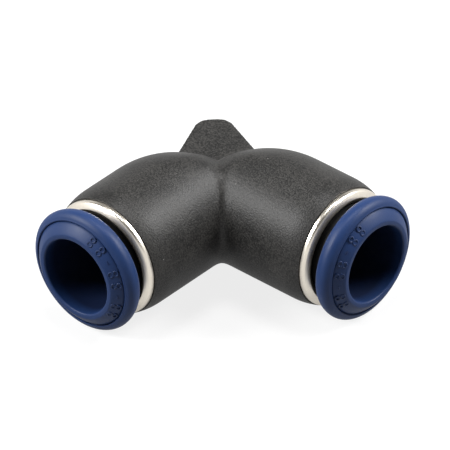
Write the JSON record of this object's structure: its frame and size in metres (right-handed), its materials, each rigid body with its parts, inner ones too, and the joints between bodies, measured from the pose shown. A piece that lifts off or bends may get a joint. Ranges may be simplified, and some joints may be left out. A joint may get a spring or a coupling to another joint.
{
  "type": "push to connect fitting",
  "caption": "Right-angle push-in fitting that joins plastic air tubes, with a release sleeve at each port and a lug behind its corner.",
  "frame": {"origin": "where the axes of the two tube ports cross", "axes": "+X along port A, out of its mouth; -Y along port B, out of its mouth; +Z square to both ports"},
  "size_m": [0.0281, 0.028, 0.0136],
  "materials": {
    "body_plastic": "black glass-filled moulding with a fine sparked grain",
    "nickel_plate": "nickel plated, satin",
    "sleeve_plastic": "navy blue acetal, satin",
    "spring_steel": "stamped stainless spring steel",
    "seat_brass": "turned brass",
    "spacer_plastic": "natural white moulding",
    "seal_rubber": "black nitrile rubber"
  },
  "bodies": {
    "elbow": {"elbow_body": "body_plastic", "seal_a": "seal_rubber", "spacer_ring_a": "spacer_plastic", "claw_seat_a": "seat_brass", "collar_a": "nickel_plate", "seal_b": "seal_rubber", "spacer_ring_b": "spacer_plastic", "claw_seat_b": "seat_brass", "collar_b": "nickel_plate"},
    "grip_a": {"grab_ring_a": "spring_steel"},
    "grip_b": {"grab_ring_b": "spring_steel"},
    "release_a": {"release_sleeve_a": "sleeve_plastic"},
    "release_b": {"release_sleeve_b": "sleeve_plastic"}
  },
  "joints": [
    {"name": "grip_spin_a", "type": "hinge", "parent": "elbow", "child": "grip_a", "pos_m": [0.0126, 0, 0], "axis": [1, 0, 0], "continuous": true},
    {"name": "release_slide_a", "type": "slide", "parent": "grip_a", "child": "release_a", "axis": [-1, 0, 0], "range_m": [0, 0.0011], "stiffness_N_per_m": 1000},
    {"name": "grip_spin_b", "type": "hinge", "parent": "elbow", "child": "grip_b", "pos_m": [0, -0.0126, 0], "axis": [0, -1, 0], "continuous": true},
    {"name": "release_slide_b", "type": "slide", "parent": "grip_b", "child": "release_b", "axis": [0, 1, 0], "range_m": [0, 0.0011], "stiffness_N_per_m": 1000}
  ]
}
